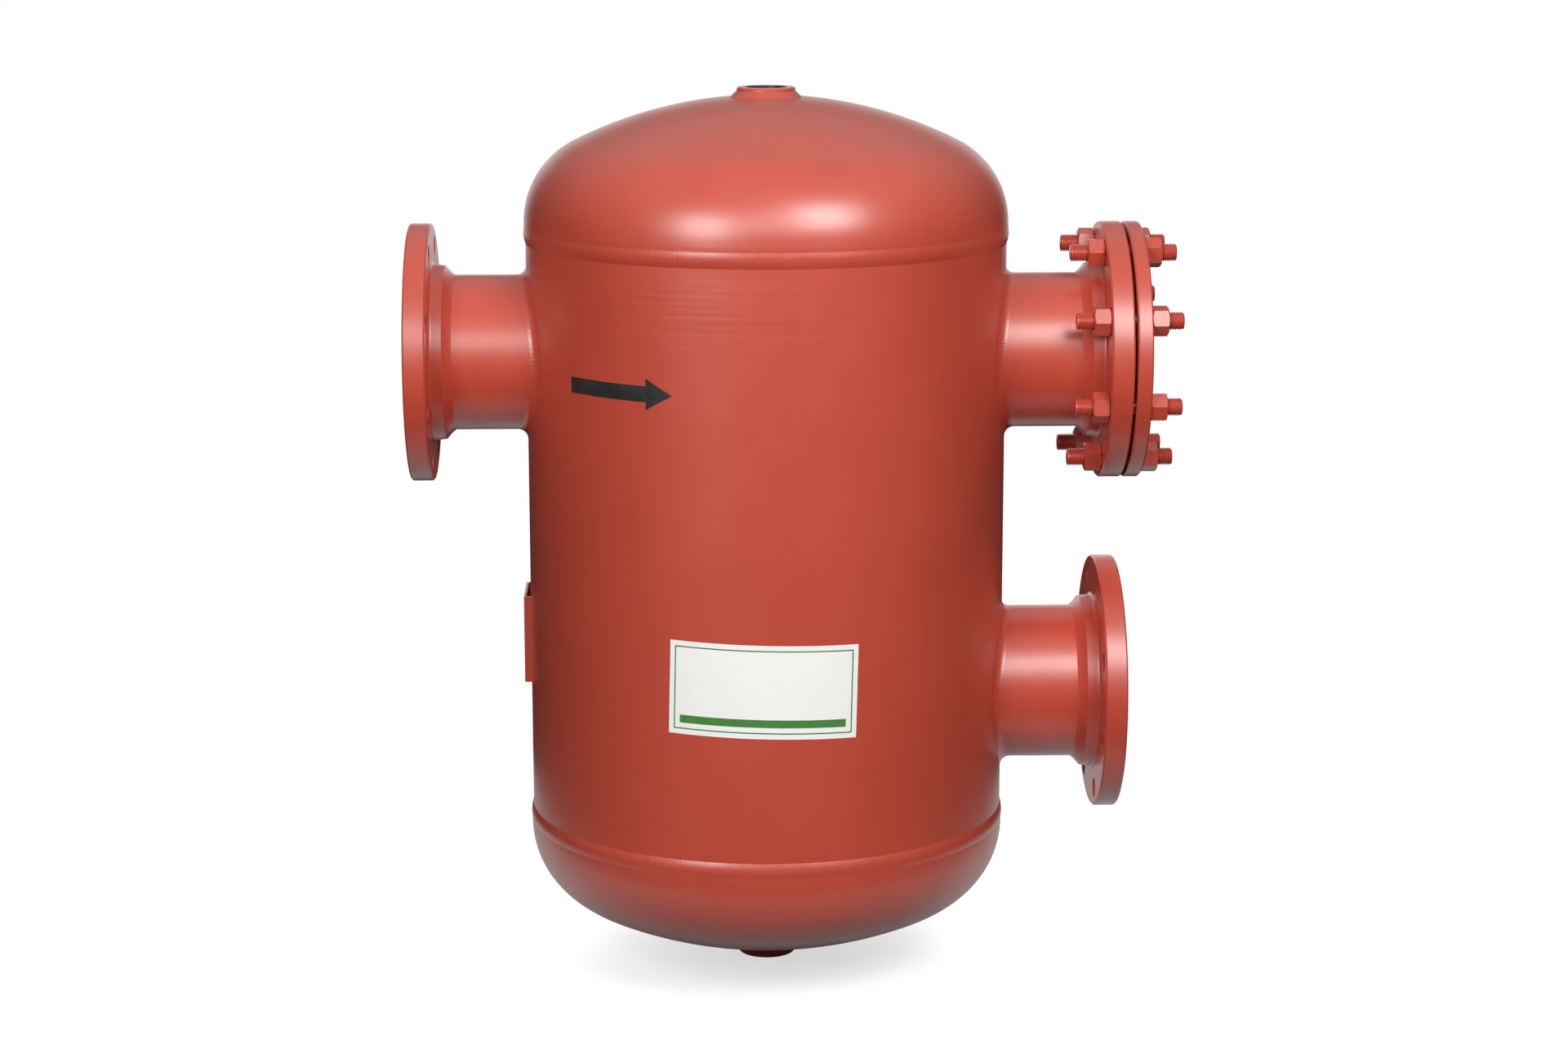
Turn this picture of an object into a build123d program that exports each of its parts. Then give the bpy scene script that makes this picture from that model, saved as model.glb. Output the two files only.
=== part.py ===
from build123d import *
from math import acos, degrees, radians, sqrt, sin, tan
import os

# Air separator: a welded steel vessel that hangs in the pipework by its flanges.
# Millimetres. The origin is the centre of the drain coupling's lower face, +Z is up the
# vessel's axis, the inlet points along -X and the outlet along +X.

# Vessel: a rolled shell between two 2:1 dished heads of the same bore. Each head is pressed
# to two arcs that follow the ellipse, a crown and a knuckle.
vessel_bore_r = 254.0
crown_r = 459.4
knuckle_r = 87.8
shell_wall = 6.35
head_wall = 7.94
shell_height = 641.4
straight_flange = 13.0
drain_projection = 24.0
vent_projection = 9.0

# Nozzles: 6 inch pipe with class 150 slip-on flanges
pipe_r = 84.14
pipe_wall = 7.11
inlet_height = 684.0
outlet_height = 311.0
inlet_face = 387.35
outlet_face = 387.35
access_face = 387.35

flange_r = 139.7
flange_thickness = 25.4
raised_face_r = 107.95
raised_face_height = 1.6
flange_bore_r = 85.35
flange_edge_break = 1.6
hub_r = 96.05
hub_end_r = 94.4
hub_length = 39.6
hub_fillet = 4.0
pipe_setback = 8.0
bolt_circle_r = 120.65
bolt_hole_r = 11.1
bolt_count = 8
half_bolt_step = 180.0 / bolt_count

# Blind flange: a flat plate on 3/4 inch studs with hex nuts. Its holes and those of the flange
# it closes are drilled a little larger than the free flanges' holes.
blind_thickness = 16.5
access_hole_r = 11.4
gasket_thickness = 1.6
gasket_r = 111.1
gasket_bore_r = 84.2
stud_r = 9.525
stud_length = 114.3
stud_shift = -1.0
stud_end_break = 1.6
nut_across_flats = 28.58
nut_height = 18.0
nut_washer_face_r = 13.6
nut_turns = (4, 21, 37, 12, 52, 29, 46, 8, 33, 17, 55, 1, 25, 41, 14, 49)

# Half couplings for a 1-1/2 inch vent and drain
coupling_r = 31.75
coupling_bore_r = 22.2
coupling_edge_break = 1.5
drain_coupling_length = 39.7
vent_coupling_length = 22.0

# Welds
root_face = 1.6
bevel_angle = 30.0
girth_cap_width = 17.0
girth_cap_proud = 2.2
seam_cap_width = 15.0
seam_cap_proud = 1.8
saddle_weld_r = 11.0
hub_weld_leg = 10.0
face_weld_leg = 6.0
coupling_weld_leg = 7.0
coupling_weld_rise = 5.25
coupling_weld_toe = 1.4
hub_weld_throat = 4.5
hub_weld_hollow = 0.4
face_weld_throat = 2.52

# Strainer: a perforated tube that draws out through the access nozzle
screen_r = 69.85
screen_wall = 1.9
screen_left = -322.0
screen_right = 334.0
screen_hole_r = 9.5
screen_rows = 12
screen_planes = 5
screen_plain_end = 42.0
seat_ring_length = 14.0
seat_lip_length = 4.0
seat_lip_r = 65.0
guide_ring_length = 12.0
guide_ring_right = 318.0
screen_clearance = 0.35
end_plate_thickness = 3.0
handle_rod_r = 4.0
handle_width = 64.0
handle_reach = 42.0
handle_bend_r = 12.0

# What sits on the shell: a bent bracket for a data plate, a paint arrow and a label
bracket_width = 76.0
bracket_height = 96.0
bracket_centre_height = 371.0
bracket_standoff = 6.2
bracket_sheet = 2.5
bracket_bend_r = 2.25
film = 0.3
arrow_height = 673.0
arrow_tail_arc = -240.3
arrow_tip_arc = -105.9
arrow_head_length = 29.4
arrow_head_width = 32.7
arrow_shaft_width = 16.5
label_arc = -10.6
label_height = 365.3
label_width = 200.0
label_depth = 99.5
label_lean = 1.4

# Worked out from the above
shell_r = vessel_bore_r + shell_wall
head_r = vessel_bore_r + head_wall
knuckle_offset = vessel_bore_r - knuckle_r
crown_drop = sqrt((crown_r - knuckle_r) ** 2 - knuckle_offset**2)
knuckle_sweep = degrees(acos(knuckle_offset / (crown_r - knuckle_r)))
head_depth = crown_r - crown_drop + head_wall
lower_tangent = drain_projection + head_depth
lower_weld = lower_tangent + straight_flange
upper_weld = lower_weld + shell_height
upper_tangent = upper_weld + straight_flange
vent_face = upper_tangent + head_depth + vent_projection
pipe_bore_r = pipe_r - pipe_wall
bevel_slope = tan(radians(bevel_angle))
shell_bevel = (shell_wall - root_face) * bevel_slope
head_bevel = (head_wall - root_face) * bevel_slope
past = 20.0

# A sketch of a ring round the vessel's axis has its x along the radius and its y up
upright = Plane.XZ
# The shell's seam faces the back, away from the nozzles and the label
seam_behind = Plane(origin=(0, 0, 0), x_dir=(0, 1, 0), z_dir=(0, 0, 1))

# Nozzle name: side of the vessel, height of its axis, distance of its flange face
nozzles = {
    "inlet": (-1, inlet_height, inlet_face),
    "access": (1, inlet_height, access_face),
    "outlet": (1, outlet_height, outlet_face),
}
hole_radii = {"inlet": bolt_hole_r, "access": access_hole_r, "outlet": bolt_hole_r}


def nozzle_plane(side, height, distance):
    """A plane across a nozzle, looking outward along it."""
    return Plane(origin=(side * distance, 0, height), x_dir=(0, side, 0), z_dir=(side, 0, 0))


def nozzle_section(side, height, distance):
    """A plane through a nozzle's axis: x runs outward along it and y is the radius."""
    return Plane(origin=(side * distance, 0, height), x_dir=(side, 0, 0), z_dir=(0, -side, 0))


def nozzle_axis(side, height):
    return Axis((0, 0, height), (side, 0, 0))


def shell_plane(arc, height):
    """A plane that touches the shell, at an arc length from the front and a height."""
    angle = degrees(arc / shell_r) - 90
    outward = Vector(1, 0, 0).rotate(Axis.Z, angle)
    along = Vector(-outward.Y, outward.X, 0)
    touch = outward * shell_r + Vector(0, 0, height)
    return Plane(origin=touch, x_dir=along, z_dir=outward)


def keep(part, name):
    """Label a finished piece and write it."""
    part.label = name
    export_step(part, f"parts/{name}.step")


os.makedirs("parts", exist_ok=True)

# Shell: rolled plate, bevelled at both ends for the girth welds, with the nozzle holes
with BuildPart() as shell:
    with BuildSketch(upright):
        with BuildLine():
            Polyline(
                (vessel_bore_r, lower_weld),
                (vessel_bore_r + root_face, lower_weld),
                (shell_r, lower_weld + shell_bevel),
                (shell_r, upper_weld - shell_bevel),
                (vessel_bore_r + root_face, upper_weld),
                (vessel_bore_r, upper_weld),
                close=True,
            )
        make_face()
    revolve(axis=Axis.Z)
    for side, height, face in nozzles.values():
        with BuildSketch(nozzle_plane(side, height, 0)):
            Circle(pipe_r)
        extrude(amount=shell_r + past, mode=Mode.SUBTRACT)
keep(shell.part, "shell")

# Longitudinal seam: the cap of the weld that closes the rolled plate
with BuildPart() as shell_seam_weld:
    seam_low = lower_weld + girth_cap_width / 2
    with BuildSketch(Plane.XY.offset(seam_low)):
        with BuildLine():
            seam_edge_y = sqrt(shell_r**2 - (seam_cap_width / 2) ** 2)
            ThreePointArc(
                (-seam_cap_width / 2, seam_edge_y),
                (0, shell_r + seam_cap_proud),
                (seam_cap_width / 2, seam_edge_y),
            )
            ThreePointArc(
                (seam_cap_width / 2, seam_edge_y),
                (0, shell_r),
                (-seam_cap_width / 2, seam_edge_y),
            )
        make_face()
    extrude(amount=shell_height - girth_cap_width)
keep(shell_seam_weld.part, "shell_seam_weld")

# Heads: a crown, a knuckle and a short straight flange, with a hole for the coupling
for name, tangent, weld, up in (
    ("upper_head", upper_tangent, upper_weld, 1),
    ("lower_head", lower_tangent, lower_weld, -1),
):
    with BuildPart() as head:
        with BuildSketch(upright):
            with BuildLine():
                crown_ends = []
                knuckle_starts = []
                for wall in (head_wall, 0):
                    knuckle = CenterArc(
                        (knuckle_offset, tangent), knuckle_r + wall, 0, up * knuckle_sweep
                    )
                    crown_stop = degrees(acos(coupling_r / (crown_r + wall)))
                    crown = CenterArc(
                        (0, tangent - up * crown_drop),
                        crown_r + wall,
                        up * knuckle_sweep,
                        up * (crown_stop - knuckle_sweep),
                    )
                    knuckle_starts.append(knuckle @ 0)
                    crown_ends.append(crown @ 1)
                Line(crown_ends)
                Polyline(
                    knuckle_starts[0],
                    (head_r, weld + up * head_bevel),
                    (vessel_bore_r + root_face, weld),
                    (vessel_bore_r, weld),
                    knuckle_starts[1],
                )
            make_face()
        revolve(axis=Axis.Z)
    keep(head.part, name)

# Girth welds: each fills its groove and stands proud as a low bead
for name, weld, up in (
    ("upper_girth_weld", upper_weld, 1),
    ("lower_girth_weld", lower_weld, -1),
):
    with BuildPart() as girth_weld:
        with BuildSketch(upright):
            with BuildLine():
                Polyline(
                    (shell_r, weld - up * girth_cap_width / 2),
                    (shell_r, weld - up * shell_bevel),
                    (vessel_bore_r + root_face, weld),
                    (head_r, weld + up * head_bevel),
                    (head_r, weld + up * girth_cap_width / 2),
                )
                ThreePointArc(
                    (head_r, weld + up * girth_cap_width / 2),
                    (shell_r + girth_cap_proud, weld),
                    (shell_r, weld - up * girth_cap_width / 2),
                )
            make_face()
        revolve(axis=Axis.Z)
    keep(girth_weld.part, name)

# Vent and drain couplings with the fillet welds round them
for name, face, length, up in (
    ("vent_coupling", vent_face, vent_coupling_length, 1),
    ("drain_coupling", 0.0, drain_coupling_length, -1),
):
    with BuildPart() as coupling:
        with BuildSketch(Plane.XY.offset(face)):
            Circle(coupling_r)
        extrude(amount=-up * length)
        outer_rim = coupling.edges().filter_by(GeomType.CIRCLE).sort_by(Axis.Z)[-1 if up > 0 else 0]
        chamfer(outer_rim, length=coupling_edge_break)
        with Locations(Plane.XY.offset(face)):
            Hole(coupling_bore_r)
    keep(coupling.part, name)

for name, tangent, up in (
    ("vent_coupling_weld", upper_tangent, 1),
    ("drain_coupling_weld", lower_tangent, -1),
):
    with BuildPart() as coupling_weld:
        with BuildSketch(upright):
            apex = tangent + up * head_depth
            with BuildLine():
                Polyline(
                    (coupling_r, apex - up * coupling_weld_leg),
                    (coupling_r, apex + up * coupling_weld_rise),
                    (coupling_r + coupling_weld_leg, apex - up * coupling_weld_toe),
                    (coupling_r + coupling_weld_leg, apex - up * coupling_weld_leg),
                    close=True,
                )
            make_face()
            with Locations((0, tangent - up * crown_drop)):
                Circle(crown_r + head_wall, mode=Mode.SUBTRACT)
        revolve(axis=Axis.Z)
    keep(coupling_weld.part, name)

# Necks, flanges and their welds, for each nozzle
for name, (side, height, face) in nozzles.items():
    with BuildPart() as neck:
        with BuildSketch(nozzle_plane(side, height, face - pipe_setback)):
            Circle(pipe_r)
            Circle(pipe_bore_r, mode=Mode.SUBTRACT)
        extrude(amount=-(face - pipe_setback - vessel_bore_r + pipe_r / 2))
        with BuildSketch(seam_behind.offset(height - pipe_r - past)):
            Circle(vessel_bore_r)
        extrude(amount=2 * (pipe_r + past), mode=Mode.SUBTRACT)
    keep(neck.part, f"{name}_neck")

    # The saddle weld is the fillet of a pipe on the shell, less the pipe and the shell
    with BuildPart() as saddle_weld:
        with BuildSketch(seam_behind.offset(height - pipe_r - 2 * past)):
            Circle(shell_r)
        extrude(amount=2 * (pipe_r + 2 * past))
        with BuildSketch(nozzle_plane(side, height, 0)):
            Circle(pipe_r)
        extrude(amount=shell_r + 2 * past)
        joint_line = saddle_weld.edges().filter_by(
            lambda edge: edge.geom_type != GeomType.CIRCLE
            and edge.geom_type != GeomType.LINE
        )
        fillet(joint_line, radius=saddle_weld_r)
        with BuildSketch(seam_behind.offset(height - pipe_r - 2 * past)):
            Circle(shell_r)
        extrude(amount=2 * (pipe_r + 2 * past), mode=Mode.SUBTRACT)
        with BuildSketch(nozzle_plane(side, height, 0)):
            Circle(pipe_r)
        extrude(amount=shell_r + 2 * past, mode=Mode.SUBTRACT)
    keep(saddle_weld.part, f"{name}_saddle_weld")

    with BuildPart() as flange:
        with BuildSketch(nozzle_section(side, height, face)):
            with BuildLine():
                Polyline(
                    (0, flange_bore_r),
                    (0, raised_face_r),
                    (-raised_face_height, raised_face_r),
                    (-raised_face_height, flange_r),
                    (-flange_thickness, flange_r),
                    (-flange_thickness, hub_r),
                    (-hub_length, hub_end_r),
                    (-hub_length, flange_bore_r),
                    close=True,
                )
            make_face()
        revolve(axis=nozzle_axis(side, height))
        rings = flange.edges().filter_by(GeomType.CIRCLE)
        rims = rings.filter_by(lambda ring: abs(ring.radius - flange_r) < 0.01)
        chamfer(rims, length=flange_edge_break)
        rings = flange.edges().filter_by(GeomType.CIRCLE)
        hub_roots = rings.filter_by(lambda ring: abs(ring.radius - hub_r) < 0.01)
        fillet(hub_roots, radius=hub_fillet)
        with Locations(nozzle_plane(side, height, face)):
            with PolarLocations(bolt_circle_r, bolt_count, start_angle=half_bolt_step):
                Hole(hole_radii[name])
    keep(flange.part, f"{name}_flange")

    with BuildPart() as hub_weld:
        with BuildSketch(nozzle_section(side, height, face - hub_length)):
            with BuildLine():
                Line((0, pipe_r), (0, hub_end_r))
                ThreePointArc(
                    (0, hub_end_r),
                    (-hub_weld_throat, (pipe_r + hub_end_r) / 2 - hub_weld_hollow),
                    (-hub_weld_leg, pipe_r),
                )
                Line((-hub_weld_leg, pipe_r), (0, pipe_r))
            make_face()
        revolve(axis=nozzle_axis(side, height))
    keep(hub_weld.part, f"{name}_hub_weld")

    with BuildPart() as face_weld:
        with BuildSketch(nozzle_section(side, height, face - pipe_setback)):
            with BuildLine():
                Line((0, flange_bore_r - face_weld_leg), (0, flange_bore_r))
                Line((0, flange_bore_r), (face_weld_leg, flange_bore_r))
                ThreePointArc(
                    (face_weld_leg, flange_bore_r),
                    (face_weld_throat, flange_bore_r - face_weld_throat),
                    (0, flange_bore_r - face_weld_leg),
                )
            make_face()
        revolve(axis=nozzle_axis(side, height))
    keep(face_weld.part, f"{name}_face_weld")

# Blind flange that closes the access nozzle, its gasket, studs and nuts
gasket_outer = access_face + gasket_thickness
blind_back = gasket_outer + blind_thickness
with BuildPart() as blind_flange:
    with BuildSketch(nozzle_plane(1, inlet_height, gasket_outer)):
        Circle(flange_r)
    extrude(amount=blind_thickness)
    rims = blind_flange.edges().filter_by(GeomType.CIRCLE)
    chamfer(rims, length=flange_edge_break)
    with Locations(nozzle_plane(1, inlet_height, blind_back)):
        with PolarLocations(bolt_circle_r, bolt_count, start_angle=half_bolt_step):
            Hole(access_hole_r)
keep(blind_flange.part, "blind_flange")

with BuildPart() as flange_gasket:
    with BuildSketch(nozzle_plane(1, inlet_height, access_face)):
        Circle(gasket_r)
        Circle(gasket_bore_r, mode=Mode.SUBTRACT)
    extrude(amount=gasket_thickness)
keep(flange_gasket.part, "flange_gasket")

grip = flange_thickness + gasket_thickness + blind_thickness
grip_middle = blind_back - grip / 2
with BuildPart() as flange_studs:
    with BuildSketch(nozzle_plane(1, inlet_height, grip_middle + stud_shift - stud_length / 2)):
        with PolarLocations(bolt_circle_r, bolt_count, start_angle=half_bolt_step):
            Circle(stud_r)
    extrude(amount=stud_length)
    chamfer(flange_studs.edges().filter_by(GeomType.CIRCLE), length=stud_end_break)
keep(flange_studs.part, "flange_studs")

# One hex nut, chamfered at its corners, standing on its washer face
with BuildPart() as nut:
    with BuildSketch():
        RegularPolygon(nut_across_flats / 2, 6, major_radius=False)
    extrude(amount=nut_height)
    with BuildSketch(upright):
        with BuildLine():
            corner_r = nut_across_flats / sqrt(3)
            corner_drop = (corner_r - nut_washer_face_r) * bevel_slope
            Polyline(
                (0, 0),
                (nut_washer_face_r, 0),
                (corner_r, corner_drop),
                (corner_r, nut_height - corner_drop),
                (nut_washer_face_r, nut_height),
                (0, nut_height),
                close=True,
            )
        make_face()
    revolve(axis=Axis.Z, mode=Mode.INTERSECT)
    with Locations(Plane.XY.offset(nut_height)):
        Hole(stud_r)

with BuildPart() as flange_nuts:
    for end, (seat, way) in enumerate(((blind_back, 1), (blind_back - grip, -1))):
        for place in range(bolt_count):
            around = half_bolt_step + place * 2 * half_bolt_step
            turn = nut_turns[end * bolt_count + place]
            centre = Vector(0, bolt_circle_r, 0).rotate(Axis.X, around)
            seat_plane = Plane(
                origin=centre + Vector(seat, 0, inlet_height),
                x_dir=Vector(0, 1, 0).rotate(Axis.X, turn),
                z_dir=(way, 0, 0),
            )
            with Locations(seat_plane):
                add(nut.part)
keep(flange_nuts.part, "flange_nuts")

# Strainer: the perforated tube, its end plate and pull handle, and the rings that hold it
screen_length = screen_right - screen_left
row_pitch = (screen_length - 2 * screen_plain_end) / (screen_rows - 0.5)
with BuildPart() as strainer_screen:
    with BuildSketch(nozzle_plane(1, inlet_height, screen_left)):
        Circle(screen_r)
        Circle(screen_r - screen_wall, mode=Mode.SUBTRACT)
    extrude(amount=screen_length)
    for turn in range(screen_planes):
        stagger = row_pitch / 4 if turn % 2 else -row_pitch / 4
        across = Plane(
            origin=((screen_left + screen_right) / 2 + stagger, 0, inlet_height),
            x_dir=(1, 0, 0),
            z_dir=Vector(0, 0, 1).rotate(Axis.X, turn * 180 / screen_planes),
        )
        with BuildSketch(across):
            with GridLocations(row_pitch, 1, screen_rows, 1):
                Circle(screen_hole_r)
        extrude(amount=screen_r + past, both=True, mode=Mode.SUBTRACT)
keep(strainer_screen.part, "strainer_screen")

with BuildPart() as strainer_end_plate:
    with BuildSketch(nozzle_plane(1, inlet_height, screen_right - end_plate_thickness)):
        Circle(screen_r - screen_wall)
    extrude(amount=end_plate_thickness)
keep(strainer_end_plate.part, "strainer_end_plate")

with BuildPart() as strainer_pull_handle:
    with BuildLine(nozzle_section(1, inlet_height, screen_right)):
        FilletPolyline(
            (0, -handle_width / 2),
            (handle_reach, -handle_width / 2),
            (handle_reach, handle_width / 2),
            (0, handle_width / 2),
            radius=handle_bend_r,
        )
    with BuildSketch(
        Plane(
            origin=(screen_right, 0, inlet_height - handle_width / 2),
            x_dir=(0, 1, 0),
            z_dir=(1, 0, 0),
        )
    ):
        Circle(handle_rod_r)
    sweep()
keep(strainer_pull_handle.part, "strainer_pull_handle")

with BuildPart() as strainer_seat_ring:
    with BuildSketch(nozzle_section(-1, inlet_height, -screen_left + seat_lip_length)):
        with BuildLine():
            Polyline(
                (0, seat_lip_r),
                (0, pipe_bore_r),
                (-seat_ring_length, pipe_bore_r),
                (-seat_ring_length, screen_r + screen_clearance),
                (-seat_lip_length, screen_r + screen_clearance),
                (-seat_lip_length, seat_lip_r),
                close=True,
            )
        make_face()
    revolve(axis=nozzle_axis(-1, inlet_height))
keep(strainer_seat_ring.part, "strainer_seat_ring")

with BuildPart() as strainer_guide_ring:
    with BuildSketch(nozzle_plane(1, inlet_height, guide_ring_right - guide_ring_length)):
        Circle(pipe_bore_r)
        Circle(screen_r + screen_clearance, mode=Mode.SUBTRACT)
    extrude(amount=guide_ring_length)
keep(strainer_guide_ring.part, "strainer_guide_ring")

# Bracket for a data plate: bent sheet whose two legs are cut to the shell and welded on
with BuildPart() as data_plate_bracket:
    with BuildSketch(Plane.XY.offset(bracket_centre_height - bracket_height / 2)):
        with Locations((-shell_r - bracket_standoff + past / 2, 0)):
            Rectangle(past, bracket_width)
        with Locations((-shell_r - bracket_standoff + bracket_sheet + past / 2, 0)):
            Rectangle(past, bracket_width - 2 * bracket_sheet, mode=Mode.SUBTRACT)
        Circle(shell_r, mode=Mode.SUBTRACT)
    extrude(amount=bracket_height)
    bends = data_plate_bracket.edges().filter_by(Axis.Z).sort_by(Axis.X)[:2]
    fillet(bends, radius=bracket_bend_r)
keep(data_plate_bracket.part, "data_plate_bracket")

# Flow arrow and label: thin films that follow the shell
with BuildPart() as flow_arrow:
    arrow_middle = (arrow_tail_arc + arrow_tip_arc) / 2
    half_arrow = (arrow_tip_arc - arrow_tail_arc) / 2
    reach = shell_r * sin(half_arrow / shell_r)
    neck_x = reach - arrow_head_length
    with BuildSketch(seam_behind.offset(arrow_height - arrow_head_width)):
        Circle(shell_r + film)
        Circle(shell_r, mode=Mode.SUBTRACT)
    extrude(amount=2 * arrow_head_width)
    with BuildSketch(shell_plane(arrow_middle, arrow_height).offset(-shell_r / 2)):
        with BuildLine():
            Polyline(
                (-reach, -arrow_shaft_width / 2),
                (neck_x, -arrow_shaft_width / 2),
                (neck_x, -arrow_head_width / 2),
                (reach, 0),
                (neck_x, arrow_head_width / 2),
                (neck_x, arrow_shaft_width / 2),
                (-reach, arrow_shaft_width / 2),
                close=True,
            )
        make_face()
    extrude(amount=shell_r, mode=Mode.INTERSECT)
keep(flow_arrow.part, "flow_arrow")

with BuildPart() as label:
    with BuildSketch(seam_behind.offset(label_height - label_depth)):
        Circle(shell_r + film)
        Circle(shell_r, mode=Mode.SUBTRACT)
    extrude(amount=2 * label_depth)
    with BuildSketch(shell_plane(label_arc, label_height).offset(-shell_r / 2)):
        Rectangle(2 * shell_r * sin(label_width / 2 / shell_r), label_depth, rotation=-label_lean)
    extrude(amount=shell_r, mode=Mode.INTERSECT)
keep(label.part, "label")
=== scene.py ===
import math

import bmesh
import bpy
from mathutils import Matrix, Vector


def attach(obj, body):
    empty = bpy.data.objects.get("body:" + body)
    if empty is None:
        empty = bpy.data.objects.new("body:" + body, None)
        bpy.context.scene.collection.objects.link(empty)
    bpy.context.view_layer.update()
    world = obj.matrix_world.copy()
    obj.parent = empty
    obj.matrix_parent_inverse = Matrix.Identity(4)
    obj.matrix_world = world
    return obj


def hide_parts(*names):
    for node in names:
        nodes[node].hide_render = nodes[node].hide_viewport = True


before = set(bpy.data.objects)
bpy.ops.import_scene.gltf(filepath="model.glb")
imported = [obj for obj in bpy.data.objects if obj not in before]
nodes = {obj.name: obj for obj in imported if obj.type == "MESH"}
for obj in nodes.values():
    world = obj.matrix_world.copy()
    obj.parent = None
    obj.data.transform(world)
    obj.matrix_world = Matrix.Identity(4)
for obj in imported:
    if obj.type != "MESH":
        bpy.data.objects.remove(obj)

scene = bpy.context.scene
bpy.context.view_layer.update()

# The view, in metres, degrees and millimetres of focal length, measured on the photo
CAMERA_PLACE = (-0.09995, -3.62161, 1.22440)
CAMERA_PAN = -1.888
CAMERA_TILT = 11.422
CAMERA_LENS = 76.942
SENSOR_WIDTH = 36.0
AIM = Vector((0.0, 0.0, 0.52))

# The vessel, in metres
SHELL_R = 0.26035
VESSEL_INSIDE_R = 0.2545
VESSEL_MIDDLE = (0.0, 0.0, 0.49)
INLET_HEIGHT = 0.684
OUTLET_HEIGHT = 0.311
PIPE_INSIDE_R = 0.0776
FLANGE_INSIDE_R = 0.0856
RAISED_FACE_R = 0.1080
FACE_START = 0.3865
COUPLING_INSIDE_R = 0.0226

# Studs: 3/4 inch with ten threads to the inch
STUD_R = 0.009525
STUD_COUNT = 8
BOLT_CIRCLE_R = 0.12065
HALF_STEP = math.radians(22.5)
THREAD_PITCH = 0.00254
THREAD_DEPTH = 0.00145
THREADED_END = 0.034
STUD_END_BREAK = 0.0016
STUD_SIDES = 28
THREAD_SHAPE = (0.0, 0.0, 0.5, 1.0, 1.0, 0.5)

# Relief of the finishes: scales in cycles per metre, depths and pitches in metres
PEEL_SCALE = 260.0
PEEL_DEPTH = 0.00012
LUMP_SCALE = 75.0
LUMP_DEPTH = 0.0005
SMALL_LUMP_DEPTH = 0.0004
RIPPLE_DEPTH = 0.00004
NECK_RIPPLE_DEPTH = 0.00005
RIPPLE_WANDER = 5.0
RIPPLE_WANDER_SCALE = 60.0
GIRTH_RIPPLES = 330.0
NECK_RIPPLES = 125.0
COUPLING_RIPPLES = 60.0
SEAM_RIPPLES_PER_METRE = 1250.0
FACE_GROOVE_PITCH = 0.0012
FACE_GROOVE_DEPTH = 0.00006
PIPE_THREAD_PITCH = 0.00221
PIPE_THREAD_DEPTH = 0.0004
ROLLING_DEPTH = 0.0009
WAVE_SCALE = 5.0
WAVE_DEPTH = 0.0007

# Where the rolling ridges fade in and out, as heights and as places across the vessel
ROLLING_LOW = (0.700, 0.740)
ROLLING_HIGH = (0.775, 0.795)
ROLLING_LEFT = (-0.22, -0.12)
ROLLING_RIGHT = (0.02, 0.10)

# Label: the middle of the film, as an arc from the front and a height
LABEL_ARC = -0.0106
LABEL_HEIGHT = 0.3653
LABEL_LEAN = math.radians(1.4)
LABEL_HALF_WIDTH = 0.100
LABEL_HALF_DEPTH = 0.04975
FRAME_INSET = 0.006
FRAME_LINE = 0.0007
BAND_DROP = 0.0335
BAND_HALF = 0.0042
BAND_HALF_WIDTH = 0.088

# Studio
ROOM_STRENGTH = 0.20
BACKDROP_HALF = 25.0
BACKDROP_LOW = -5.0
BACKDROP_HIGH = 15.0
# Walls that glow only in reflections, a painted reflection of a dim room: their size and their greys by
# height
WALL_RADIUS = 7.0
REFLECTED_ROOM_GREYS = ((0.0, 0.0), (0.5, 0.02), (0.7, 0.16), (0.85, 0.46), (1.0, 0.60))
FLOOR_GREY = (0.45, 0.45, 0.45, 1.0)
FLOOR_RADIUS = 0.70
FLOOR_SETBACK = 0.22
# The floor's glow: full in the open and lower under the object as painted shade; reflections see a
# weaker glow that also carries painted shade
FLOOR_GLOW = 0.90
FLOOR_GLOW_IN_PAINTED_SHADE = 0.62
FLOOR_REACH = 0.9
FLOOR_FALL = 2.0
FLOOR_MIRRORED = 0.22


def add(tree, kind, values=None, **settings):
    """A new node with its settings and the values of its free inputs."""
    made = tree.nodes.new(kind)
    for key, value in settings.items():
        setattr(made, key, value)
    for key, value in (values or {}).items():
        made.inputs[key].default_value = value
    return made


def calc(tree, operation, *terms):
    """The result of a math node whose terms are sockets or numbers."""
    made = add(tree, "ShaderNodeMath", operation=operation)
    for term, socket in zip(terms, made.inputs):
        if isinstance(term, bpy.types.NodeSocket):
            tree.links.new(term, socket)
        else:
            socket.default_value = term
    return made.outputs["Value"]


def position(tree):
    """The x, y and z sockets of the point in the object's own frame."""
    place = add(tree, "ShaderNodeTexCoord")
    split = add(tree, "ShaderNodeSeparateXYZ")
    tree.links.new(place.outputs["Object"], split.inputs["Vector"])
    return split.outputs["X"], split.outputs["Y"], split.outputs["Z"]


def noise(tree, scale, detail=3.0, roughness=0.5, stretch=(1.0, 1.0, 1.0)):
    """Noise from about 0 to 1 in the object's frame, stretched along its axes."""
    place = add(tree, "ShaderNodeTexCoord")
    mapping = add(tree, "ShaderNodeMapping", {"Scale": stretch})
    field = add(tree, "ShaderNodeTexNoise", {"Scale": scale, "Detail": detail, "Roughness": roughness})
    tree.links.new(place.outputs["Object"], mapping.inputs["Vector"])
    tree.links.new(mapping.outputs["Vector"], field.inputs["Vector"])
    return field.outputs["Fac"]


def spread(tree, field, low, high, from_low=0.3, from_high=0.7):
    """A field brought to the range from low to high."""
    ranged = add(tree, "ShaderNodeMapRange", {
        "From Min": from_low, "From Max": from_high, "To Min": low, "To Max": high,
    })
    tree.links.new(field, ranged.inputs["Value"])
    return ranged.outputs["Result"]


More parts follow.
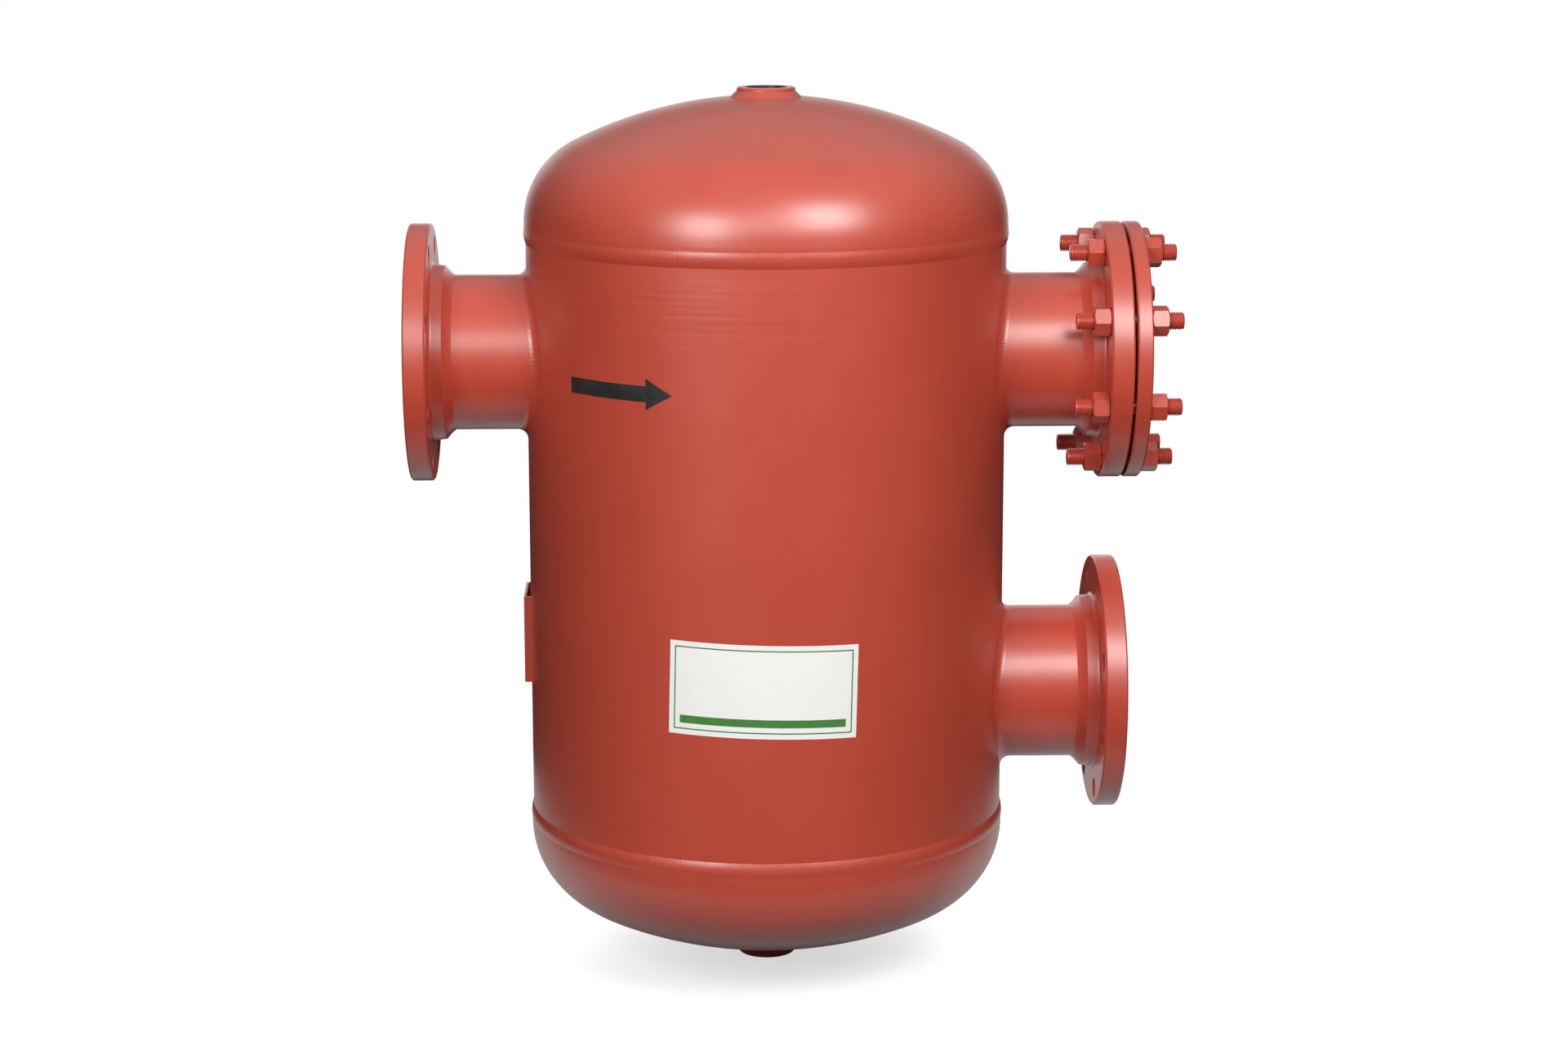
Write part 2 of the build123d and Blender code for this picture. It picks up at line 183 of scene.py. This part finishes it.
def blend(tree, factor, first, second):
    """Two colours, each a tuple or a socket, mixed by a factor."""
    mix = add(tree, "ShaderNodeMix", data_type="RGBA")
    tree.links.new(factor, mix.inputs["Factor"])
    for key, colour in (("A", first), ("B", second)):
        if isinstance(colour, bpy.types.NodeSocket):
            tree.links.new(colour, mix.inputs[key])
        else:
            mix.inputs[key].default_value = (*colour, 1.0)
    return mix.outputs["Result"]


def total(tree, *fields):
    """The sum of several fields."""
    result = fields[0]
    for field in fields[1:]:
        result = calc(tree, "ADD", result, field)
    return result


def product(tree, *fields):
    """The product of several fields or numbers."""
    result = fields[0]
    for field in fields[1:]:
        result = calc(tree, "MULTIPLY", result, field)
    return result


def distance_from_axis(tree, axis_height):
    """How far a point is from the vessel's axis, or from a nozzle's axis at a height."""
    x, y, z = position(tree)
    if axis_height is None:
        across, along = x, y
    else:
        across, along = y, calc(tree, "SUBTRACT", z, axis_height)
    squares = [calc(tree, "POWER", way, 2.0) for way in (across, along)]
    return calc(tree, "SQRT", total(tree, *squares))


def angle_round_axis(tree, axis_height):
    """The angle of a point round the vessel's axis, or round a nozzle's axis at a height."""
    x, y, z = position(tree)
    if axis_height is None:
        return calc(tree, "ARCTAN2", y, x)
    return calc(tree, "ARCTAN2", calc(tree, "SUBTRACT", z, axis_height), y)


def finish(name, colour_of, roughness_of, height_of, **shine):
    """A Principled material from functions that give its colour, roughness and relief in metres."""
    material = bpy.data.materials.new(name)
    material.use_nodes = True
    tree = material.node_tree
    surface = tree.nodes["Principled BSDF"]
    for key, value in shine.items():
        surface.inputs[key.replace("_", " ")].default_value = value
    bump = add(tree, "ShaderNodeBump", {"Strength": 1.0, "Distance": 1.0})
    tree.links.new(colour_of(tree), surface.inputs["Base Color"])
    tree.links.new(roughness_of(tree), surface.inputs["Roughness"])
    tree.links.new(height_of(tree), bump.inputs["Height"])
    tree.links.new(bump.outputs["Normal"], surface.inputs["Normal"])
    return material


PAINT = (0.470, 0.0560, 0.0300)
PAINT_PALER = (0.520, 0.0660, 0.0370)
PAINT_SPECK = (0.60, 0.115, 0.075)
MILL_SCALE = (0.030, 0.026, 0.024)
RUST = (0.085, 0.038, 0.020)
STEEL_DARK = (0.52, 0.51, 0.49)
STEEL_PALE = (0.62, 0.61, 0.59)
SHEET = ((0.012, 0.012, 0.013), (0.022, 0.021, 0.021))
BLACK_FILM = ((0.014, 0.014, 0.015), (0.024, 0.023, 0.024))
WHITE_FILM = ((0.865, 0.86, 0.83), (0.89, 0.885, 0.86))
GREEN_INK = ((0.060, 0.210, 0.045), (0.075, 0.240, 0.055))


def red(tree):
    """Red paint with a faint mottle, a little paler in fine specks."""
    mottle = spread(tree, noise(tree, 6.0, 4.0, 0.6), 0.0, 1.0)
    specks = spread(tree, noise(tree, 700.0, 2.0), 0.0, 0.22, 0.60, 0.72)
    return blend(tree, specks, blend(tree, mottle, PAINT, PAINT_PALER), PAINT_SPECK)


def bare_where(tree, inside):
    """Red paint outside, and dark mill scale and rust inside."""
    rust = spread(tree, noise(tree, 30.0, 6.0, 0.65), 0.0, 1.0, 0.42, 0.68)
    return blend(tree, inside, red(tree), blend(tree, rust, MILL_SCALE, RUST))


def dark_bore(reach, axis_height):
    """A colour function with bare steel inside a radius."""
    def colour_of(tree):
        return bare_where(tree, calc(tree, "LESS_THAN", distance_from_axis(tree, axis_height), reach))
    return colour_of


def dark_dome(tree):
    """Red paint, and bare steel where a head faces the middle of the vessel."""
    place = add(tree, "ShaderNodeTexCoord")
    from_middle = add(tree, "ShaderNodeVectorMath", {1: VESSEL_MIDDLE}, operation="SUBTRACT")
    facing = add(tree, "ShaderNodeVectorMath", operation="DOT_PRODUCT")
    tree.links.new(place.outputs["Object"], from_middle.inputs[0])
    tree.links.new(from_middle.outputs["Vector"], facing.inputs[0])
    tree.links.new(place.outputs["Normal"], facing.inputs[1])
    return bare_where(tree, calc(tree, "LESS_THAN", facing.outputs["Value"], 0.0))


def semi_gloss(low, high):
    """A roughness that drifts between two values."""
    return lambda tree: spread(tree, noise(tree, 22.0, 3.0), low, high)


def peel(tree):
    """The orange-peel surface of sprayed paint."""
    return product(tree, noise(tree, PEEL_SCALE, 2.0), PEEL_DEPTH)


def paint(name, colour_of=red, height_of=peel, low=0.38, high=0.44):
    """Semi-gloss paint: a rough base under a smoother coat."""
    return finish(name, colour_of, semi_gloss(low, high), height_of,
                  Specular_IOR_Level=0.5, Coat_Weight=1.0, Coat_Roughness=0.31, Coat_IOR=1.5)


def rolled_plate(tree):
    """Orange peel, and the faint ridges that rolling left below the upper weld."""
    x, y, z = position(tree)
    fades = [
        spread(tree, z, 0.0, 1.0, *ROLLING_LOW),
        spread(tree, z, 1.0, 0.0, *ROLLING_HIGH),
        spread(tree, x, 0.0, 1.0, *ROLLING_LEFT),
        spread(tree, x, 1.0, 0.0, *ROLLING_RIGHT),
    ]
    ridges = noise(tree, 2.2, 2.0, 0.5, (1.0, 1.0, 30.0))
    marks = product(tree, *fades, ridges, ROLLING_DEPTH)
    waves = product(tree, noise(tree, WAVE_SCALE, 1.0), WAVE_DEPTH)
    return total(tree, peel(tree), marks, waves)


def weld_relief(tree, phase, ripple_depth, lump_depth):
    """Ripples whose phase wanders a little, the lumps of the bead, and orange peel."""
    wander = product(tree, noise(tree, RIPPLE_WANDER_SCALE, 2.0), RIPPLE_WANDER)
    ripple = product(tree, calc(tree, "SINE", total(tree, phase, wander)), ripple_depth)
    lumps = product(tree, noise(tree, LUMP_SCALE, 3.0), lump_depth)
    return total(tree, ripple, lumps, peel(tree))


def bead(axis_height, ripples, ripple_depth, lump_depth):
    """The relief of a weld round an axis, with its ripples in a turn and their depth."""
    def height_of(tree):
        phase = product(tree, angle_round_axis(tree, axis_height), ripples)
        return weld_relief(tree, phase, ripple_depth, lump_depth)
    return height_of


def seam_bead(tree):
    """The relief of the straight weld up the back."""
    height = position(tree)[2]
    return weld_relief(tree, product(tree, height, SEAM_RIPPLES_PER_METRE), RIPPLE_DEPTH, LUMP_DEPTH)


def grooved_face(axis_height):
    """Orange peel, and the fine turned grooves of a raised face."""
    def height_of(tree):
        from_middle = calc(tree, "ABSOLUTE", position(tree)[0])
        radius = distance_from_axis(tree, axis_height)
        far_out = calc(tree, "GREATER_THAN", from_middle, FACE_START)
        within = calc(tree, "LESS_THAN", radius, RAISED_FACE_R)
        groove = calc(tree, "SINE", product(tree, radius, 2.0 * math.pi / FACE_GROOVE_PITCH))
        return total(tree, peel(tree), product(tree, far_out, within, groove, FACE_GROOVE_DEPTH))
    return height_of


def coupling_thread(tree):
    """Orange peel, and the pipe thread inside a half coupling."""
    inside = calc(tree, "LESS_THAN", distance_from_axis(tree, None), COUPLING_INSIDE_R)
    climb = product(tree, position(tree)[2], 2.0 * math.pi / PIPE_THREAD_PITCH)
    turn = calc(tree, "SUBTRACT", climb, angle_round_axis(tree, None))
    return total(tree, peel(tree), product(tree, inside, calc(tree, "SINE", turn), PIPE_THREAD_DEPTH))


def steel(name):
    """Punched stainless sheet with a brushed grain along the nozzles' axis."""
    def grain(tree, low, high):
        return spread(tree, noise(tree, 40.0, 5.0, 0.6, (1.0, 8.0, 8.0)), low, high)

    def colour_of(tree):
        return blend(tree, grain(tree, 0.0, 1.0), STEEL_DARK, STEEL_PALE)

    def roughness_of(tree):
        return grain(tree, 0.28, 0.42)

    def height_of(tree):
        return product(tree, noise(tree, 160.0, 4.0, 0.6, (1.0, 10.0, 10.0)), 0.00002)

    return finish(name, colour_of, roughness_of, height_of, Metallic=1.0)


def cloudy(tree, scale, colours):
    """Two near colours mixed by noise."""
    return blend(tree, spread(tree, noise(tree, scale, 3.0), 0.0, 1.0), *colours)


def matte(name, colours, low, high, scale):
    """Film or sheet with a small change of colour and gloss."""
    return finish(
        name,
        lambda tree: cloudy(tree, scale, colours),
        lambda tree: spread(tree, noise(tree, scale, 3.0), low, high),
        lambda tree: product(tree, noise(tree, scale, 3.0), 0.0001),
    )


def label_print(tree):
    """White film with a plain green band and a thin green line round its edge."""
    x, y, z = position(tree)
    arc = product(tree, calc(tree, "ARCTAN2", x, product(tree, y, -1.0)), SHELL_R)
    right = calc(tree, "SUBTRACT", arc, LABEL_ARC)
    up = calc(tree, "SUBTRACT", z, LABEL_HEIGHT)
    cosine = math.cos(LABEL_LEAN)
    sine = math.sin(LABEL_LEAN)
    across = total(tree, product(tree, right, cosine), product(tree, up, -sine))
    along = total(tree, product(tree, right, sine), product(tree, up, cosine))
    off_middle = calc(tree, "ABSOLUTE", across)
    from_side = calc(tree, "SUBTRACT", LABEL_HALF_WIDTH, off_middle)
    from_end = calc(tree, "SUBTRACT", LABEL_HALF_DEPTH, calc(tree, "ABSOLUTE", along))
    inset = calc(tree, "MINIMUM", from_side, from_end)
    line = calc(tree, "COMPARE", inset, FRAME_INSET, FRAME_LINE)
    at_band = calc(tree, "COMPARE", along, -BAND_DROP, BAND_HALF)
    band = product(tree, at_band, calc(tree, "LESS_THAN", off_middle, BAND_HALF_WIDTH))
    printed = calc(tree, "MAXIMUM", line, band)
    return blend(tree, printed, cloudy(tree, 140.0, WHITE_FILM), cloudy(tree, 200.0, GREEN_INK))


def film_height(tree):
    """The slight unevenness of a film stuck on paint."""
    ripples = product(tree, noise(tree, 9.0, 2.0), 0.0006)
    return total(tree, ripples, product(tree, noise(tree, PEEL_SCALE, 2.0), 0.00005))


FINISHES = {
    "shell_paint": paint("shell paint", dark_bore(VESSEL_INSIDE_R, None), rolled_plate),
    "head_paint": paint("head paint", dark_dome),
    "inlet_pipe_paint": paint("inlet pipe paint", dark_bore(PIPE_INSIDE_R, INLET_HEIGHT)),
    "outlet_pipe_paint": paint("outlet pipe paint", dark_bore(PIPE_INSIDE_R, OUTLET_HEIGHT)),
    "inlet_flange_paint": paint(
        "inlet flange paint", dark_bore(FLANGE_INSIDE_R, INLET_HEIGHT), grooved_face(INLET_HEIGHT)),
    "outlet_flange_paint": paint(
        "outlet flange paint", dark_bore(FLANGE_INSIDE_R, OUTLET_HEIGHT), grooved_face(OUTLET_HEIGHT)),
    "coupling_paint": paint("coupling paint", dark_bore(COUPLING_INSIDE_R, None), coupling_thread),
    "bracket_paint": paint("bracket paint"),
    "girth_weld_paint": paint(
        "girth weld paint", height_of=bead(None, GIRTH_RIPPLES, RIPPLE_DEPTH, LUMP_DEPTH)),
    "seam_weld_paint": paint("seam weld paint", height_of=seam_bead),
    "inlet_weld_paint": paint(
        "inlet weld paint", height_of=bead(INLET_HEIGHT, NECK_RIPPLES, NECK_RIPPLE_DEPTH, LUMP_DEPTH)),
    "outlet_weld_paint": paint(
        "outlet weld paint", height_of=bead(OUTLET_HEIGHT, NECK_RIPPLES, NECK_RIPPLE_DEPTH, LUMP_DEPTH)),
    "coupling_weld_paint": paint(
        "coupling weld paint", height_of=bead(None, COUPLING_RIPPLES, RIPPLE_DEPTH, SMALL_LUMP_DEPTH)),
    "fastener_paint": paint("fastener paint", low=0.34, high=0.44),
    "blind_paint": paint("blind paint"),
    "strainer_steel": steel("strainer steel"),
    "gasket_sheet": matte("gasket sheet", SHEET, 0.6, 0.8, 90.0),
    "arrow_film": matte("arrow film", BLACK_FILM, 0.40, 0.55, 60.0),
    "label_film": finish("label film", label_print, semi_gloss(0.30, 0.38), film_height),
}

FINISH_OF_NODE = {
    "shell": "shell_paint",
    "upper_head": "head_paint",
    "lower_head": "head_paint",
    "data_plate_bracket": "bracket_paint",
    "blind_flange": "blind_paint",
    "flange_gasket": "gasket_sheet",
    "flange_studs": "fastener_paint",
    "flange_nuts": "fastener_paint",
    "flow_arrow": "arrow_film",
    "label": "label_film",
    "shell_seam_weld": "seam_weld_paint",
}


def finish_of(name):
    """The key of the material of a node, by the node's name."""
    if name in FINISH_OF_NODE:
        return FINISH_OF_NODE[name]
    if name.startswith("strainer_"):
        return "strainer_steel"
    if name.endswith("girth_weld"):
        return "girth_weld_paint"
    if name.endswith("coupling_weld"):
        return "coupling_weld_paint"
    if name.endswith("coupling"):
        return "coupling_paint"
    run = "outlet" if name.startswith("outlet_") else "inlet"
    if name.endswith("_weld"):
        return run + "_weld_paint"
    if name.endswith("_neck"):
        return run + "_pipe_paint"
    return run + "_flange_paint"


for name, node in nodes.items():
    node.data.materials.clear()
    node.data.materials.append(FINISHES[finish_of(name)])


def stud_rings(left, right):
    """Where the rings of one stud stand along it."""
    step = THREAD_PITCH / len(THREAD_SHAPE)
    count = int(THREADED_END / step)
    starts = [left + STUD_END_BREAK * share for share in (0.0, 0.5)]
    near = [left + STUD_END_BREAK + step * index for index in range(count)]
    far = [right - STUD_END_BREAK - step * index for index in reversed(range(count))]
    ends = [right - STUD_END_BREAK * share for share in (0.5, 0.0)]
    return starts + near + far + ends


def thread_depth(along, side):
    """How far the thread is cut at a place along a stud and at one of its sides."""
    spot = (along / THREAD_PITCH - side / STUD_SIDES) % 1.0 * len(THREAD_SHAPE)
    before = int(spot) % len(THREAD_SHAPE)
    after = (before + 1) % len(THREAD_SHAPE)
    step = THREAD_SHAPE[after] - THREAD_SHAPE[before]
    return THREAD_DEPTH * (THREAD_SHAPE[before] + step * (spot - int(spot)))


def threaded_studs():
    """The studs of the access nozzle with their threads cut."""
    ends = [vertex.co.x for vertex in nodes["flange_studs"].data.vertices]
    left = min(ends)
    right = max(ends)
    form = bmesh.new()
    for place in range(STUD_COUNT):
        around = HALF_STEP + place * 2.0 * HALF_STEP
        centre_y = BOLT_CIRCLE_R * math.cos(around)
        centre_z = INLET_HEIGHT + BOLT_CIRCLE_R * math.sin(around)
        grid = []
        for along in stud_rings(left, right):
            from_end = min(along - left, right - along)
            ceiling = STUD_R - max(0.0, STUD_END_BREAK - from_end)
            row = []
            for side in range(STUD_SIDES):
                turn = 2.0 * math.pi * side / STUD_SIDES
                radius = min(ceiling, STUD_R - thread_depth(along, side))
                spot = (along, centre_y + radius * math.cos(turn), centre_z + radius * math.sin(turn))
                row.append(form.verts.new(spot))
            grid.append(row)
        for first, second in zip(grid, grid[1:]):
            for side in range(STUD_SIDES):
                after = (side + 1) % STUD_SIDES
                form.faces.new((first[side], first[after], second[after], second[side]))
        form.faces.new(list(reversed(grid[0])))
        form.faces.new(grid[-1])
    bmesh.ops.recalc_face_normals(form, faces=form.faces)
    mesh = bpy.data.meshes.new("threaded_studs")
    form.to_mesh(mesh)
    form.free()
    mesh.shade_smooth()
    mesh.set_sharp_from_angle(angle=math.radians(50.0))
    studs = bpy.data.objects.new("threaded_studs", mesh)
    scene.collection.objects.link(studs)
    mesh.materials.append(FINISHES["fastener_paint"])
    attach(studs, "root")
    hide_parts("flange_studs")


threaded_studs()


def softbox(name, azimuth, elevation, distance, width, height, power, in_reflections=True):
    """A rectangular lamp aimed at the object, placed by its direction from it."""
    turn = math.radians(azimuth)
    rise = math.radians(elevation)
    level = math.cos(rise)
    away = Vector((math.sin(turn) * level, -math.cos(turn) * level, math.sin(rise)))
    lamp = bpy.data.lights.new(name, "AREA")
    lamp.shape = "RECTANGLE"
    lamp.size = width
    lamp.size_y = height
    lamp.energy = power
    holder = bpy.data.objects.new(name, lamp)
    holder.location = AIM + away * distance
    holder.rotation_euler = (-away).to_track_quat("-Z", "Y").to_euler()
    holder.visible_glossy = in_reflections
    scene.collection.objects.link(holder)


softbox("left softbox", -30.0, 22.0, 3.2, 1.15, 1.25, 52.0)
softbox("right softbox", 27.0, 33.0, 3.2, 1.20, 1.30, 67.0)
softbox("middle fill", -1.0, 27.0, 3.4, 1.30, 1.20, 13.0)
softbox("back fill", 180.0, 24.0, 3.4, 2.60, 1.80, 95.0, in_reflections=False)


def seen_or_mirrored(tree):
    """1 for rays from the camera, and 1 for those that gloss or glass sends on."""
    rays = add(tree, "ShaderNodeLightPath")
    sent_on = calc(tree, "MAXIMUM", rays.outputs["Is Glossy Ray"], rays.outputs["Is Transmission Ray"])
    return rays.outputs["Is Camera Ray"], sent_on


def grey_ramp(tree, field, steps):
    """A grey that follows a field through several steps."""
    ramp = add(tree, "ShaderNodeValToRGB")
    elements = ramp.color_ramp.elements
    elements[0].position, low = steps[0]
    elements[0].color = (low, low, low, 1.0)
    elements[1].position, high = steps[-1]
    elements[1].color = (high, high, high, 1.0)
    for place, grey in steps[1:-1]:
        elements.new(place).color = (grey, grey, grey, 1.0)
    tree.links.new(field, ramp.inputs["Fac"])
    return ramp.outputs["Color"]


def surroundings():
    """White for what the camera and reflections see, and a dim room for the rest."""
    world = bpy.data.worlds.new("room")
    world.use_nodes = True
    scene.world = world
    tree = world.node_tree
    tree.nodes.clear()
    output = add(tree, "ShaderNodeOutputWorld")
    white = add(tree, "ShaderNodeBackground", {"Color": (1.0, 1.0, 1.0, 1.0)})
    room = add(tree, "ShaderNodeBackground", {"Strength": ROOM_STRENGTH})
    place = add(tree, "ShaderNodeTexCoord")
    split = add(tree, "ShaderNodeSeparateXYZ")
    mix = add(tree, "ShaderNodeMixShader")
    tree.links.new(place.outputs["Generated"], split.inputs["Vector"])
    height = spread(tree, split.outputs["Z"], 0.0, 1.0, -1.0, 1.0)
    tree.links.new(grey_ramp(tree, height, ((0.40, 0.05), (0.80, 0.98))), room.inputs["Color"])
    tree.links.new(calc(tree, "MAXIMUM", *seen_or_mirrored(tree)), mix.inputs["Fac"])
    tree.links.new(room.outputs["Background"], mix.inputs[1])
    tree.links.new(white.outputs["Background"], mix.inputs[2])
    tree.links.new(mix.outputs["Shader"], output.inputs["Surface"])


surroundings()


def stage_piece(name, form, location, shade):
    """An object of the studio, with a material that a function fills in."""
    mesh = bpy.data.meshes.new(name)
    form.to_mesh(mesh)
    form.free()
    piece = bpy.data.objects.new(name, mesh)
    piece.location = location
    piece.visible_diffuse = False
    material = bpy.data.materials.new(name)
    material.use_nodes = True
    material.node_tree.nodes.clear()
    shade(material.node_tree)
    mesh.materials.append(material)
    scene.collection.objects.link(piece)
    return piece


def reflected_room_glow(tree):
    """A glow whose grey rises with height, seen only in reflections: a painted reflection of a dim room.
    """
    output = add(tree, "ShaderNodeOutputMaterial")
    glow = add(tree, "ShaderNodeEmission")
    place = add(tree, "ShaderNodeTexCoord")
    split = add(tree, "ShaderNodeSeparateXYZ")
    tree.links.new(place.outputs["Generated"], split.inputs["Vector"])
    tree.links.new(grey_ramp(tree, split.outputs["Z"], REFLECTED_ROOM_GREYS), glow.inputs["Color"])
    tree.links.new(glow.outputs["Emission"], output.inputs["Surface"])


def reflected_room_walls():
    """Dim walls and ceiling round the lamps that glow only in reflections, a painted reflection of a dim
    room, open where the white backdrop is.
    """
    form = bmesh.new()
    bmesh.ops.create_uvsphere(form, u_segments=72, v_segments=36, radius=WALL_RADIUS)
    half = math.radians(BACKDROP_HALF)
    low = WALL_RADIUS * math.sin(math.radians(BACKDROP_LOW))
    high = WALL_RADIUS * math.sin(math.radians(BACKDROP_HIGH))
    opening = []
    for face in form.faces:
        middle = face.calc_center_median()
        if abs(math.atan2(middle.x, middle.y)) < half and low < middle.z < high:
            opening.append(face)
    bmesh.ops.delete(form, geom=opening, context="FACES")
    walls = stage_piece("reflected room walls", form, AIM, reflected_room_glow)
    # Only reflections see the walls: painted reflection
    walls.visible_camera = False
    walls.visible_transmission = False
    walls.visible_shadow = False


def pale_cover(tree):
    """White with the object's shadow from the lamps on it, and painted shade: a glow that ambient
    occlusion darkens where the object covers it, for the camera and in reflections.
    """
    output = add(tree, "ShaderNodeOutputMaterial")
    cover = add(tree, "ShaderNodeBsdfDiffuse", {"Color": FLOOR_GREY})
    glow = add(tree, "ShaderNodeEmission")
    open_sky = add(tree, "ShaderNodeAmbientOcclusion", {"Distance": FLOOR_REACH})
    both = add(tree, "ShaderNodeAddShader")
    seen, sent_on = seen_or_mirrored(tree)
    openness = open_sky.outputs["AO"]
    # Painted shade: the glow the camera sees drops where ambient occlusion finds the object above the
    # floor
    direct = product(tree, seen, spread(tree, openness, FLOOR_GLOW_IN_PAINTED_SHADE, FLOOR_GLOW, 0.0, 1.0))
    # Painted shade in reflections too: the mirrored glow falls faster with the occlusion
    mirrored = product(tree, sent_on, calc(tree, "POWER", openness, FLOOR_FALL), FLOOR_MIRRORED)
    tree.links.new(calc(tree, "ADD", direct, mirrored), glow.inputs["Strength"])
    tree.links.new(cover.outputs["BSDF"], both.inputs[0])
    tree.links.new(glow.outputs["Emission"], both.inputs[1])
    tree.links.new(both.outputs["Shader"], output.inputs["Surface"])


def pale_floor():
    """A round white floor under the object."""
    form = bmesh.new()
    bmesh.ops.create_circle(form, cap_ends=True, segments=96, radius=FLOOR_RADIUS)
    stage_piece("floor", form, (0.0, FLOOR_SETBACK, 0.0), pale_cover)


reflected_room_walls()
pale_floor()

lens = bpy.data.cameras.new("view")
lens.lens = CAMERA_LENS
lens.sensor_width = SENSOR_WIDTH
camera = bpy.data.objects.new("view", lens)
camera.location = CAMERA_PLACE
camera.rotation_euler = (math.radians(90.0 - CAMERA_TILT), 0.0, math.radians(CAMERA_PAN))
scene.collection.objects.link(camera)
scene.camera = camera
scene.view_settings.view_transform = "Standard"
